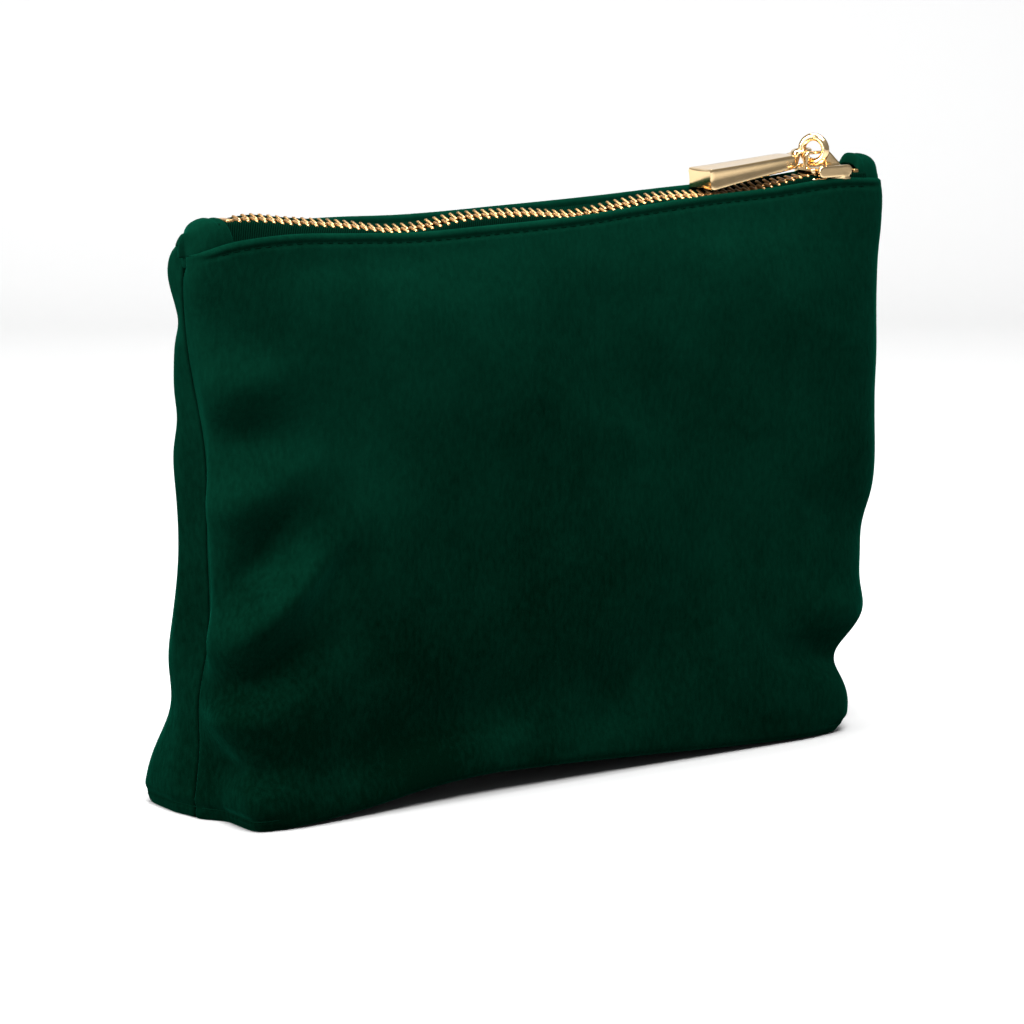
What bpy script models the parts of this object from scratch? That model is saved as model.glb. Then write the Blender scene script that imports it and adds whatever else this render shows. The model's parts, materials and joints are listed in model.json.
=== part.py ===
"""Makeup bag: a velvet zip pouch with a boxed base and a metal zip along its top.

The bag stands on z = 0 with its width along X and its front towards -Y.  Two panels, each
with an interlining and a lining behind it, meet in side seams and in a seam under the base.
The zip lies across the mouth, and its slider carries a ring and a wedge-shaped pull.
"""

import math

import bmesh
import bpy
from mathutils import Matrix, Vector

MM = 0.001

# The bag: widths between the side seams, depth of the boxed base, height of the zip
WIDTH_TOP = 212 * MM
WIDTH_BASE = 186 * MM
DEPTH_BASE = 50 * MM
DEPTH_MOUTH = 15.4 * MM
HEIGHT = 150 * MM
LEAN = 16 * MM            # how far the zip stands in front of the middle of the base
SKEW = 2.5 * MM           # how far the zip stands to the right of the middle of the base
RIGHT_BULGE = 9 * MM      # how far the right side swells out between its two corners
RIM_BELOW_ZIP = 0.6 * MM  # the folded top edges end this far under the zip's middle plane
EDGE_RADIUS = 5 * MM      # round of the base edges

# How the widths, the depth and the roundness of the section change with height
SIDE_CURVE = 1.5
BULGE_CURVE = 0.7
DEPTH_CURVE = 1.6
DEPTH_FULLNESS = 0.8
SQUARENESS = 3.4
SQUARER_BASE = 3.6
SQUARER_TOP = 1.6

# Cloth layers from the outside in: (depth of the outer face, thickness)
VELVET = (0.0, 1.2 * MM)
INTERLINING = (1.5 * MM, 1.0 * MM)
LINING = (2.8 * MM, 0.4 * MM)
LINING_BELOW_ZIP = 2.8 * MM
SEAM_GAP = 1.6 * MM       # between the two panels' cut edges, where the seam's thread runs
SEAM_STRIP = 4.2 * MM     # each panel is flat this far either side of a side seam
THREAD = 0.5 * MM         # thickness of the sewing thread
SEAM_THREAD_INSET = 0.6 * MM
SIDE_THREAD_BELOW_ZIP = 10 * MM
SIDE_THREAD_STEPS = 10
BASE_THREAD_SHORT = 2 * MM    # each end of the base seam's thread stops this short
CORNER_SEAM_REACH = 15 * MM
STITCH_BELOW_ZIP = 3.4 * MM
STITCH_END_COLUMNS = 3        # left out at each end of the top stitch line
CLEARANCE = 0.3 * MM          # between neighbouring pieces

# The zip, measured across from its middle line
PITCH = 2.4 * MM
TOOTH_WIDTH = 0.9 * MM
TOOTH_HEIGHT = 1.6 * MM
TOOTH_TIP = 0.6 * MM      # how far a closed tooth reaches past the middle line
BEAD_INNER = 1.8 * MM
BEAD_OUTER = 2.6 * MM
TAPE_THICKNESS = 0.6 * MM
TAPE_OUTER = 5.9 * MM
TAPE_OUTER_END = 5.1 * MM
TAPE_TAPER = 14 * MM
TAPE_LEFT = -96.0 * MM
TAPE_RIGHT = 97.0 * MM
TEETH_LEFT = -93.0 * MM
TEETH_RIGHT = 94.6 * MM
ROW_SPREAD = 1.9 * MM     # how far the slider holds each row from the middle line

# The stops at the zip's ends, and the velvet tabs over them
TOP_STOP_INNER = 1.0 * MM
TOP_STOP_OUTER = 4.3 * MM
TOP_STOP_END = 96.6 * MM
TOP_STOP_ROUND = 0.3 * MM
BOTTOM_STOP_LENGTH = 2.1 * MM
BOTTOM_STOP_HALF_WIDTH = 2.5 * MM
BOTTOM_STOP_ROUND = 0.35 * MM
TAB_LEFT = -96.3 * MM
TAB_RIGHT = 97.3 * MM
TAB_LEFT_RISE = 0.85 * MM     # top of each tab over the zip's middle plane
TAB_RIGHT_RISE = 4.6 * MM
TAB_INSET = 0.3 * MM
TAB_SHORT_OF_SEAM = 0.6 * MM
TAB_ROUND = 0.35 * MM
TAB_OUTLINE_STRIDE = 12

# The slider, measured along X from its middle
SLIDER_X = 88.0 * MM
SLIDER_HALF_LENGTH = 6.4 * MM
SLIDER_HALF_HEIGHT = 1.9 * MM
SLIDER_NOSE_HALF_WIDTH = 4.4 * MM
SLIDER_TAIL_CUT = (0.8 * MM, 0.6 * MM)    # bevel of the tail's corners, along and across
SLIDER_NOSE_CUT = 1.6 * MM
CUTTER_PAST = 2 * MM          # cutting shapes run this far past the slider
POST_BRIDGE = 0.4 * MM        # solid kept round the post by the tape slots
CHANNEL_HALF_HEIGHT = 1.1 * MM
TAPE_SLOT_HALF_HEIGHT = 0.6 * MM
FLANGE = 0.7 * MM
SPREAD_START = -4.5 * MM  # where the rows begin to part inside the slider
SPREAD_END = 3.0 * MM
POST_HALF_WIDTH = 0.9 * MM
BAIL_HALF_WIDTH = 0.75 * MM
BAIL_WINDOW = (-5.3 * MM, 0.3 * MM)
BAIL_WINDOW_HEIGHT = 3.5 * MM
BAIL_THICKNESS = 0.8 * MM
BAIL_SINK = 0.4 * MM          # how deep the bail's feet go into the slider's top
BAIL_FLOOR = 0.2 * MM
BAIL_LEG = 1.05 * MM
BAIL_CHAMFER = 0.4 * MM
BAIL_CROWN = (-0.3 * MM, 0.6 * MM)        # ends of the flat crown, from the window's two sides
BAIL_SHOULDERS = (0.7 * MM, 0.5 * MM)     # drop of the crown's two corners
BAIL_HEEL = (0.8 * MM, 1.0 * MM, 0.5 * MM)  # the back foot: two setbacks and its step
BAIL_SLOPE = 1.6 * MM

# The ring through the bail, and the pull on the ring
RING_RADIUS = 3.6 * MM
WIRE_RADIUS = 1.2 * MM
RING_GAP = 0.25 * MM
RING_X = SLIDER_X - 2.7 * MM
RING_YAW = math.radians(30)
RING_SHIFT = 0.45 * MM    # along the ring's own plane
EYE_ANGLE = math.radians(75)  # from the ring's lowest point round to the pull's eye
PULL_LENGTH = 34.6 * MM
PULL_HALF_WIDTH = 4.4 * MM
PULL_FLARE_HALF_WIDTH = 3.7 * MM
PULL_END_THICKNESS = 5.4 * MM
LUG_HALF_WIDTH = 2.4 * MM
LUG_THICKNESS = 1.2 * MM
LUG_END = 4.0 * MM            # along the pull, from the middle of its eye
LUG_PAST_EYE = 0.8 * MM
LUG_CORNER = 1.0 * MM
LUG_STEP = (0.8 * MM, 0.9 * MM)
FLARE_END = 6.4 * MM
EYE_HALF_WIDTH = 1.7 * MM
EYE_HALF_LENGTH = 2.6 * MM
EYE_STEPS = 16
PULL_ABOVE_TEETH = 0.4 * MM

# Grid of each panel: columns from side seam to side seam, and the heights of its wall rows
COLUMNS = 20
WALL_HEIGHTS = [h * MM for h in (14, 32, 54, 78, 102, 124, 140)]
WALL_HEIGHTS.append(HEIGHT - LINING_BELOW_ZIP)
CLOSER_AT_ENDS = 0.45     # share of the column spacing that eases towards the side seams
OUTLINE_STEPS = 480

FRONT, BACK = -1, 1


# ---------------------------------------------------------------- scene and materials

def clear_scene():
    for obj in list(bpy.data.objects):
        bpy.data.objects.remove(obj, do_unlink=True)


def new_collection(name):
    collection = bpy.data.collections.new(name)
    bpy.context.scene.collection.children.link(collection)
    return collection


def new_material(name, color, roughness, metallic=0.0):
    material = bpy.data.materials.new(name)
    material.use_nodes = True
    shader = material.node_tree.nodes["Principled BSDF"]
    shader.inputs["Base Color"].default_value = (*color, 1.0)
    shader.inputs["Roughness"].default_value = roughness
    shader.inputs["Metallic"].default_value = metallic
    material.diffuse_color = (*color, 1.0)
    return material


def adopt(obj, name, collection, material=None):
    """Names an object and puts it in one collection only."""
    obj.name = name
    for other in list(obj.users_collection):
        other.objects.unlink(obj)
    collection.objects.link(obj)
    if material:
        obj.data.materials.clear()
        obj.data.materials.append(material)
    return obj


def as_mesh(obj, name, collection, material=None):
    """Turns a curve or a modified object into a plain welded mesh."""
    bpy.context.view_layer.update()
    evaluated = obj.evaluated_get(bpy.context.evaluated_depsgraph_get())
    mesh = bpy.data.meshes.new_from_object(evaluated)
    form = bmesh.new()
    form.from_mesh(mesh)
    bmesh.ops.remove_doubles(form, verts=form.verts, dist=0.001 * MM)
    form.to_mesh(mesh)
    form.free()
    solid = bpy.data.objects.new(name, mesh)
    solid.matrix_world = obj.matrix_world
    bpy.data.objects.remove(obj, do_unlink=True)
    return adopt(solid, name, collection, material)


def flat_outline(name, outlines, half_thickness):
    """A closed plate in its own XY plane, from outlines of (x, y); later ones are holes."""
    curve = bpy.data.curves.new(name, "CURVE")
    curve.dimensions = "2D"
    curve.fill_mode = "BOTH"
    curve.extrude = half_thickness
    for outline in outlines:
        spline = curve.splines.new("POLY")
        spline.points.add(len(outline) - 1)
        for point, (x, y) in zip(spline.points, outline):
            point.co = (x, y, 0, 1)
        spline.use_cyclic_u = True
    obj = bpy.data.objects.new(name, curve)
    bpy.context.scene.collection.objects.link(obj)
    return obj


def tube(name, points, radius, collection, material, sides=2):
    curve = bpy.data.curves.new(name, "CURVE")
    curve.dimensions = "3D"
    curve.bevel_depth = radius
    curve.bevel_resolution = sides
    curve.use_fill_caps = True
    spline = curve.splines.new("POLY")
    spline.points.add(len(points) - 1)
    for point, co in zip(spline.points, points):
        point.co = (*co, 1)
    obj = bpy.data.objects.new(name, curve)
    return adopt(obj, name, collection, material)


def boolean(obj, cutter, operation, cutters):
    cutter.hide_render = True
    cutter.display_type = "WIRE"
    adopt(cutter, cutter.name, cutters)
    modifier = obj.modifiers.new(operation.title(), "BOOLEAN")
    modifier.operation = operation
    modifier.solver = "EXACT"
    modifier.object = cutter


def bevel(obj, width, segments=2, angle=35):
    modifier = obj.modifiers.new("Bevel", "BEVEL")
    modifier.width = width
    modifier.segments = segments
    modifier.limit_method = "ANGLE"
    modifier.angle_limit = math.radians(angle)


# ---------------------------------------------------------------- the bag's form

def middle_y(z):
    """The middle between the two panels leans forwards with height."""
    return -LEAN * (z / HEIGHT) ** 2


def right_bulge(z):
    return RIGHT_BULGE * math.sin(math.pi * min(z / HEIGHT, 1.0) ** BULGE_CURVE)


def middle_x(z):
    """The middle between the two side seams; at the zip's height it is at x = 0."""
    return -SKEW * (1 - (z / HEIGHT) ** SIDE_CURVE) + right_bulge(z) / 2


def half_width(z):
    straight = WIDTH_BASE + (WIDTH_TOP - WIDTH_BASE) * (z / HEIGHT) ** SIDE_CURVE
    return (straight + right_bulge(z)) / 2


def half_depth(z):
    share = min(max(z / HEIGHT, 0.0), 1.0)
    fullness = (1 - share ** DEPTH_CURVE) ** DEPTH_FULLNESS
    return (DEPTH_MOUTH + (DEPTH_BASE - DEPTH_MOUTH) * fullness) / 2


def squareness(z):
    """Exponent of the section's superellipse: boxy at the base, lens-like halfway up."""
    share = z / HEIGHT
    return SQUARENESS + SQUARER_BASE * (1 - share) ** 4 + SQUARER_TOP * share ** 4


def half_section(z, inset=0.0):
    """Half the outline at height z as (x, distance from the middle plane), seam to seam."""
    wide, deep, power = half_width(z) - inset, half_depth(z) - inset, 2 / squareness(z)
    dense = []
    for step in range(OUTLINE_STEPS + 1):
        angle = math.pi * step / OUTLINE_STEPS
        x = -wide * math.copysign(abs(math.cos(angle)) ** power, math.cos(angle))
        dense.append(Vector((x, deep * abs(math.sin(angle)) ** power)))
    return dense


def spaced(dense, count):
    """Points along a polyline, a little closer together towards its two ends."""
    lengths = [0.0]
    for a, b in zip(dense, dense[1:]):
        lengths.append(lengths[-1] + (b - a).length)
    points, at = [], 0
    for column in range(count + 1):
        even = column / count
        eased = (1 - math.cos(math.pi * even)) / 2
        target = lengths[-1] * (even + CLOSER_AT_ENDS * (eased - even))
        while at < len(dense) - 2 and lengths[at + 1] < target:
            at += 1
        span = lengths[at + 1] - lengths[at]
        share = (target - lengths[at]) / span if span else 0.0
        points.append(dense[at].lerp(dense[at + 1], min(max(share, 0.0), 1.0)))
    return points


def wall_row(z, side, edge, inset=0.0, level=None):
    """One row of panel points: the section at height z, set in by inset, drawn at level.

    The row stops 'edge' short of the middle plane, where the other panel is sewn on.
    """
    level = z if level is None else level
    dense = half_section(z, inset)
    between_strips = [point for point in dense if point.y > SEAM_STRIP]
    wide = dense[-1].x
    points = [Vector((-wide, edge)), *spaced(between_strips, COLUMNS - 2), Vector((wide, edge))]
    across, along = middle_x(level), middle_y(level)
    return [Vector((across + x, along + side * depth, level)) for x, depth in points]


def panel_rows(side, edge, top):
    """Rows from the seam under the base, round the base edge and up to the top."""
    corner = math.radians(45)
    outer = wall_row(EDGE_RADIUS, side, edge, EDGE_RADIUS, 0.0)
    reach = outer[-1].x - middle_x(0.0)
    seam = []
    for column in range(COLUMNS + 1):
        x = reach * (2 * column / COLUMNS - 1)
        seam.append(Vector((middle_x(0.0) + x, side * edge, 0.0)))
    between = [a.lerp(b, 0.5) for a, b in zip(seam, outer)]
    rounded = wall_row(EDGE_RADIUS, side, edge, EDGE_RADIUS * (1 - math.sin(corner)),
                       EDGE_RADIUS * (1 - math.cos(corner)))
    heights = [EDGE_RADIUS, *(z for z in WALL_HEIGHTS if z < top), top]
    walls = [wall_row(z, side, edge) for z in heights]
    return [seam, between, outer, rounded, *walls]


def cloth_layer(name, side, layer, top, collection, material):
    """One panel of one layer: a lofted sheet with its thickness on the inside."""
    depth, thickness = layer
    edge = (SEAM_GAP + depth) / 2
    form = bmesh.new()
    grid = [[form.verts.new(point) for point in row] for row in panel_rows(side, edge, top)]
    for lower, upper in zip(grid, grid[1:]):
        for column in range(COLUMNS):
            corners = (lower[column], lower[column + 1], upper[column + 1], upper[column])
            form.faces.new(corners if side == FRONT else corners[::-1])
    mesh = bpy.data.meshes.new(name)
    form.to_mesh(mesh)
    form.free()
    sheet = adopt(bpy.data.objects.new(name, mesh), name, collection, material)
    solidify = sheet.modifiers.new("Cloth", "SOLIDIFY")
    solidify.thickness = thickness
    solidify.offset = -(2 * depth + thickness) / thickness
    solidify.use_even_offset = True
    return sheet


# ---------------------------------------------------------------- threads

def side_thread(name, hand, collection, material):
    depth = SEAM_THREAD_INSET
    points = []
    rise = HEIGHT - SIDE_THREAD_BELOW_ZIP - EDGE_RADIUS
    for step in range(SIDE_THREAD_STEPS + 1):
        z = EDGE_RADIUS + rise * step / SIDE_THREAD_STEPS
        points.append((middle_x(z) + hand * (half_width(z) - depth), middle_y(z), z))
    return tube(name, points, THREAD / 2, collection, material, sides=1)


def base_thread(name, collection, material):
    reach = WIDTH_BASE / 2 - EDGE_RADIUS - BASE_THREAD_SHORT
    middle, level = middle_x(0.0), SEAM_THREAD_INSET
    points = [(middle - reach, 0, level), (middle, 0, level), (middle + reach, 0, level)]
    return tube(name, points, THREAD / 2, collection, material, sides=1)


def corner_thread(name, hand, collection, material):
    """The boxed corner's seam lies across the short edge of the base."""
    reach, inset = CORNER_SEAM_REACH, SEAM_THREAD_INSET
    x = middle_x(0.0) + hand * (WIDTH_BASE / 2 - inset)
    points = [(x, -reach, inset), (x, 0, inset), (x, reach, inset)]
    return tube(name, points, THREAD / 2, collection, material, sides=1)


def top_stitch(name, side, collection, material):
    """The stitch line that holds the folded top edge, just outside the velvet."""
    z = HEIGHT - STITCH_BELOW_ZIP
    outset = CLEARANCE + THREAD
    row = spaced(half_section(z, -outset), 2 * COLUMNS)
    kept = row[STITCH_END_COLUMNS:-STITCH_END_COLUMNS]
    points = [(middle_x(z) + x, middle_y(z) + side * depth, z) for x, depth in kept]
    return tube(name, points, THREAD / 2, collection, material, sides=1)


# ---------------------------------------------------------------- the zip

def row_offset(x):
    """How far a tooth row stands from its closed place: the slider parts the rows."""
    start, end = SLIDER_X + SPREAD_START, SLIDER_X + SPREAD_END
    share = min(max((x - start) / (end - start), 0.0), 1.0)
    return ROW_SPREAD * share


def zip_point(side, x, across):
    """A point of one half, 'across' being its distance from the middle line when closed."""
    return x, middle_y(HEIGHT) + side * (across + row_offset(x))


def lay_flat(obj, name, collection, material):
    solid = as_mesh(obj, name, collection, material)
    solid.location.z = HEIGHT
    return solid


def tape(name, side, collection, material):
    inner = BEAD_OUTER + CLEARANCE
    start, end = SLIDER_X + SPREAD_START, SLIDER_X + SPREAD_END
    inside = [zip_point(side, x, inner) for x in (TAPE_LEFT, start, end, TAPE_RIGHT)]
    middle = middle_y(HEIGHT)
    outside = [(TAPE_RIGHT, middle + side * TAPE_OUTER_END),
               (TAPE_RIGHT - TAPE_TAPER, middle + side * TAPE_OUTER),
               (TAPE_LEFT + TAPE_TAPER, middle + side * TAPE_OUTER),
               (TAPE_LEFT, middle + side * TAPE_OUTER_END)]
    outline = flat_outline(name, [inside + outside], TAPE_THICKNESS / 2)
    return lay_flat(outline, name, collection, material)


def tooth_row(name, side, collection, material):
    """The bead cord with its teeth, as one comb; the two rows are half a pitch apart."""
    first = TEETH_LEFT + (PITCH / 2 if side == BACK else 0.0) + PITCH / 2
    count = int((TEETH_RIGHT - first) / PITCH)
    comb = [zip_point(side, TEETH_LEFT, BEAD_OUTER), zip_point(side, TEETH_LEFT, BEAD_INNER)]
    for tooth in range(count):
        x = first + tooth * PITCH
        near, far = x - TOOTH_WIDTH / 2, x + TOOTH_WIDTH / 2
        root_y, tip_y = zip_point(side, x, BEAD_INNER)[1], zip_point(side, x, -TOOTH_TIP)[1]
        comb += [(near, root_y), (near, tip_y), (far, tip_y), (far, root_y)]
    end = TEETH_RIGHT
    comb += [zip_point(side, end, BEAD_INNER), zip_point(side, end, BEAD_OUTER)]
    for x in (SLIDER_X + SPREAD_END, SLIDER_X + SPREAD_START):
        comb.append(zip_point(side, x, BEAD_OUTER))
    outline = flat_outline(name, [comb], TOOTH_HEIGHT / 2)
    return lay_flat(outline, name, collection, material)


def block(name, low, high, collection, material, round_edges):
    bpy.ops.mesh.primitive_cube_add(size=1.0)
    obj = bpy.context.object
    low, high = Vector(low), Vector(high)
    obj.data.transform(Matrix.Diagonal((*(high - low), 1.0)))
    obj.location = (low + high) / 2
    adopt(obj, name, collection, material)
    bevel(obj, round_edges)
    return obj


def top_stop(name, side, collection, material):
    y = middle_y(HEIGHT)
    edges = sorted((y + side * TOP_STOP_INNER, y + side * TOP_STOP_OUTER))
    reach = CHANNEL_HALF_HEIGHT
    low = (TEETH_RIGHT + CLEARANCE, edges[0], HEIGHT - reach)
    high = (TOP_STOP_END, edges[1], HEIGHT + reach)
    return block(name, low, high, collection, material, TOP_STOP_ROUND)


def bottom_stop(name, collection, material):
    y, reach = middle_y(HEIGHT), CHANNEL_HALF_HEIGHT
    across, end = BOTTOM_STOP_HALF_WIDTH, TEETH_LEFT - CLEARANCE
    low = (end - BOTTOM_STOP_LENGTH, y - across, HEIGHT - reach)
    high = (end, y + across, HEIGHT + reach)
    return block(name, low, high, collection, material, BOTTOM_STOP_ROUND)


def end_tab(name, hand, inner_x, top, collection, material):
    """The velvet tab folded over one end of the zip, resting on the panels' top edges."""
    z = HEIGHT - RIM_BELOW_ZIP
    outer_x = half_width(z) - TAB_SHORT_OF_SEAM
    dense = half_section(z, TAB_INSET)[::TAB_OUTLINE_STRIDE]
    edge = [(x, d) for x, d in dense if hand * x > hand * inner_x and abs(x) < outer_x]
    edge.sort(key=lambda point: hand * point[0])
    start_depth = edge[0][1]
    middle = middle_y(HEIGHT)
    half = [(inner_x, start_depth), *edge]
    outline = [(x, middle - d) for x, d in half] + [(x, middle + d) for x, d in reversed(half)]
    low = z + CLEARANCE
    plate = flat_outline(name, [outline], (top - low) / 2)
    solid = as_mesh(plate, name, collection, material)
    solid.location.z = (low + top) / 2
    bevel(solid, TAB_ROUND, segments=2, angle=50)
    return solid


# ---------------------------------------------------------------- slider, ring and pull

def slider(name, collection, cutters, material):
    length, flange = SLIDER_HALF_LENGTH, FLANGE
    closed = BEAD_OUTER + CLEARANCE
    spread = closed + ROW_SPREAD
    cut_along, cut_across = SLIDER_TAIL_CUT
    half = [(-length, closed + flange - cut_across), (-length + cut_along, closed + flange),
            (SPREAD_START, closed + flange), (SPREAD_END, spread + flange),
            (length - SLIDER_NOSE_CUT, spread + flange), (length, SLIDER_NOSE_HALF_WIDTH)]
    outline = [(x, -y) for x, y in half] + [(x, y) for x, y in reversed(half)]
    body = as_mesh(flat_outline(name, [outline], SLIDER_HALF_HEIGHT), name, collection, material)
    body.location = (SLIDER_X, middle_y(HEIGHT), HEIGHT)

    past = length + CUTTER_PAST
    post = [(past, -POST_HALF_WIDTH), (SPREAD_END, -POST_HALF_WIDTH), (0.0, 0.0),
            (SPREAD_END, POST_HALF_WIDTH), (past, POST_HALF_WIDTH)]
    channel = [(-past, -closed), (SPREAD_START, -closed), (SPREAD_END, -spread),
               (past, -spread), *post, (past, spread), (SPREAD_END, spread),
               (SPREAD_START, closed), (-past, closed)]
    widened = (POST_HALF_WIDTH + POST_BRIDGE) / POST_HALF_WIDTH
    spared = [(x - POST_BRIDGE, widened * y) for x, y in post]
    slot = [(-past, -past), (past, -past), *spared, (past, past), (-past, past)]
    for label, shape, half_height in (("slider_channel", channel, CHANNEL_HALF_HEIGHT),
                                      ("slider_tape_slot", slot, TAPE_SLOT_HALF_HEIGHT)):
        cutter = as_mesh(flat_outline(label, [shape], half_height), label, cutters)
        cutter.location = body.location
        boolean(body, cutter, "DIFFERENCE", cutters)

    bail = as_mesh(flat_outline("slider_bail", bail_outlines(), BAIL_HALF_WIDTH),
                   "slider_bail", cutters)
    bail.rotation_euler = (math.pi / 2, 0, 0)
    bail.location = body.location
    boolean(body, bail, "UNION", cutters)
    return body


def bail_outlines():
    """Side view of the bail above the slider: an arch whose back slopes down to the nose."""
    left, right = BAIL_WINDOW
    top = SLIDER_HALF_HEIGHT
    foot, floor = top - BAIL_SINK, top - BAIL_FLOOR
    lintel = top + BAIL_WINDOW_HEIGHT
    crown = lintel + BAIL_THICKNESS
    (crown_left, crown_right), (drop_left, drop_right) = BAIL_CROWN, BAIL_SHOULDERS
    heel_low, heel_high, heel_step = BAIL_HEEL
    outer = [(left - BAIL_LEG, foot), (SLIDER_HALF_LENGTH - heel_low, foot),
             (SLIDER_HALF_LENGTH - heel_high, top + heel_step),
             (right + BAIL_SLOPE, crown - drop_right), (right + crown_right, crown),
             (left + crown_left, crown), (left - BAIL_LEG, crown - drop_left)]
    chamfer = BAIL_CHAMFER
    window = [(left, floor), (right, floor), (right, lintel - chamfer),
              (right - chamfer, lintel), (left + chamfer, lintel), (left, lintel - chamfer)]
    return [outer, window]


def ring_axes():
    """The ring's own directions: along its plane, and through its hole."""
    along = Vector((-math.sin(RING_YAW), math.cos(RING_YAW), 0))
    through = Vector((math.cos(RING_YAW), math.sin(RING_YAW), 0))
    return along, through


def ring_pivot():
    """Where the ring's wire passes through the bail: the axis that the ring swings about."""
    z = HEIGHT + SLIDER_HALF_HEIGHT + RING_GAP + WIRE_RADIUS
    return Vector((RING_X, middle_y(HEIGHT), z))


def ring(name, collection, material):
    along, _ = ring_axes()
    centre = ring_pivot() + along * RING_SHIFT + Vector((0, 0, RING_RADIUS))
    bpy.ops.mesh.primitive_torus_add(major_radius=RING_RADIUS, minor_radius=WIRE_RADIUS,
                                     major_segments=28, minor_segments=10)
    obj = bpy.context.object
    turn = Matrix.Rotation(RING_YAW, 4, "Z") @ Matrix.Rotation(math.pi / 2, 4, "Y")
    obj.data.transform(Matrix.Translation(centre - ring_pivot()) @ turn)
    obj.location = ring_pivot()
    obj.data.shade_smooth()
    return adopt(obj, name, collection, material)


def eye_centre():
    along, _ = ring_axes()
    around = along * (RING_RADIUS * math.sin(EYE_ANGLE) + RING_SHIFT)
    rise = RING_RADIUS * (1 - math.cos(EYE_ANGLE))
    return ring_pivot() + around + Vector((0, 0, rise))


def pull(name, collection, cutters, material):
    """A wedge that widens from its lug to a square end; it lies along the closed zip."""
    tip = EYE_HALF_LENGTH + LUG_PAST_EYE
    half = [(-tip, LUG_HALF_WIDTH - LUG_CORNER), (-tip + LUG_CORNER, LUG_HALF_WIDTH),
            (LUG_END, LUG_HALF_WIDTH), (FLARE_END, PULL_FLARE_HALF_WIDTH),
            (PULL_LENGTH, PULL_HALF_WIDTH)]
    plan = [(x, -y) for x, y in half] + [(x, y) for x, y in reversed(half)]
    eye = []
    for step in range(EYE_STEPS):
        angle = 2 * math.pi * step / EYE_STEPS
        stretch = math.copysign(EYE_HALF_LENGTH - EYE_HALF_WIDTH, math.cos(angle))
        eye.append((stretch + EYE_HALF_WIDTH * math.cos(angle),
                    EYE_HALF_WIDTH * math.sin(angle)))
    body = as_mesh(flat_outline(name, [plan, eye], PULL_END_THICKNESS), name,
                   collection, material)

    thin, thick = LUG_THICKNESS / 2, PULL_END_THICKNESS / 2
    step_along, step_out = LUG_STEP
    side = [(-2 * tip, thin), (LUG_END, thin), (LUG_END + step_along, thin + step_out),
            (PULL_LENGTH + tip, thick + (thick - thin) * tip / PULL_LENGTH)]
    profile = [(x, -z) for x, z in side] + [(x, z) for x, z in reversed(side)]
    wedge = as_mesh(flat_outline("pull_wedge", [profile], 2 * PULL_HALF_WIDTH), "pull_wedge",
                    cutters)
    wedge.rotation_euler = (math.pi / 2, 0, 0)
    boolean(body, wedge, "INTERSECT", cutters)

    eye_at = eye_centre()
    end_z = HEIGHT + TOOTH_HEIGHT / 2 + PULL_ABOVE_TEETH + PULL_END_THICKNESS / 2
    end_y = middle_y(HEIGHT)
    run = math.sqrt(PULL_LENGTH ** 2 - (eye_at.z - end_z) ** 2 - (eye_at.y - end_y) ** 2)
    towards_end = Vector((-run, end_y - eye_at.y, end_z - eye_at.z)).normalized()
    sideways = Vector((0, 0, 1)).cross(towards_end).normalized()
    up = towards_end.cross(sideways)
    turn = Matrix((towards_end, sideways, up)).transposed().to_4x4()
    body.matrix_world = Matrix.Translation(eye_at) @ turn
    wedge.matrix_world = body.matrix_world @ Matrix.Rotation(math.pi / 2, 4, "X")
    return body


# ---------------------------------------------------------------- assembly

def build():
    clear_scene()
    bag = new_collection("makeup_bag")
    cutters = new_collection("cutters")

    velvet = new_material("velvet_green", (0.006, 0.075, 0.045), 0.85)
    fleece = new_material("interlining_white", (0.75, 0.74, 0.70), 0.95)
    satin = new_material("lining_green", (0.02, 0.09, 0.06), 0.55)
    twill = new_material("zip_tape_green", (0.015, 0.075, 0.05), 0.9)
    brass = new_material("teeth_brass", (0.80, 0.60, 0.32), 0.28, 1.0)
    gold = new_material("hardware_gold", (0.85, 0.68, 0.42), 0.18, 1.0)
    cotton = new_material("thread_green", (0.01, 0.07, 0.045), 0.8)

    velvet_top = HEIGHT - RIM_BELOW_ZIP
    lining_top = HEIGHT - LINING_BELOW_ZIP
    for side, label in ((FRONT, "front"), (BACK, "back")):
        cloth_layer(f"{label}_panel", side, VELVET, velvet_top, bag, velvet)
        cloth_layer(f"{label}_interlining", side, INTERLINING, lining_top, bag, fleece)
        cloth_layer(f"{label}_lining", side, LINING, lining_top, bag, satin)
        tape(f"{label}_zip_tape", side, bag, twill)
        tooth_row(f"{label}_tooth_row", side, bag, brass)
        top_stop(f"{label}_top_stop", side, bag, brass)
        top_stitch(f"{label}_top_stitch", side, bag, cotton)
    bottom_stop("bottom_stop", bag, brass)

    end_tab("left_tab", -1, TAB_LEFT, HEIGHT + TAB_LEFT_RISE, bag, velvet)
    end_tab("right_tab", 1, TAB_RIGHT, HEIGHT + TAB_RIGHT_RISE, bag, velvet)

    for hand, label in ((-1, "left"), (1, "right")):
        side_thread(f"{label}_side_thread", hand, bag, cotton)
        corner_thread(f"{label}_corner_thread", hand, bag, cotton)
    base_thread("base_thread", bag, cotton)

    slider("slider_body", bag, cutters, gold)
    ring("pull_ring", bag, gold)
    pull("pull_bar", bag, cutters, gold)


build()
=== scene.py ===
import json
import math

import bmesh
import bpy
import numpy as np
from mathutils import Matrix, Vector, noise


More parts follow.
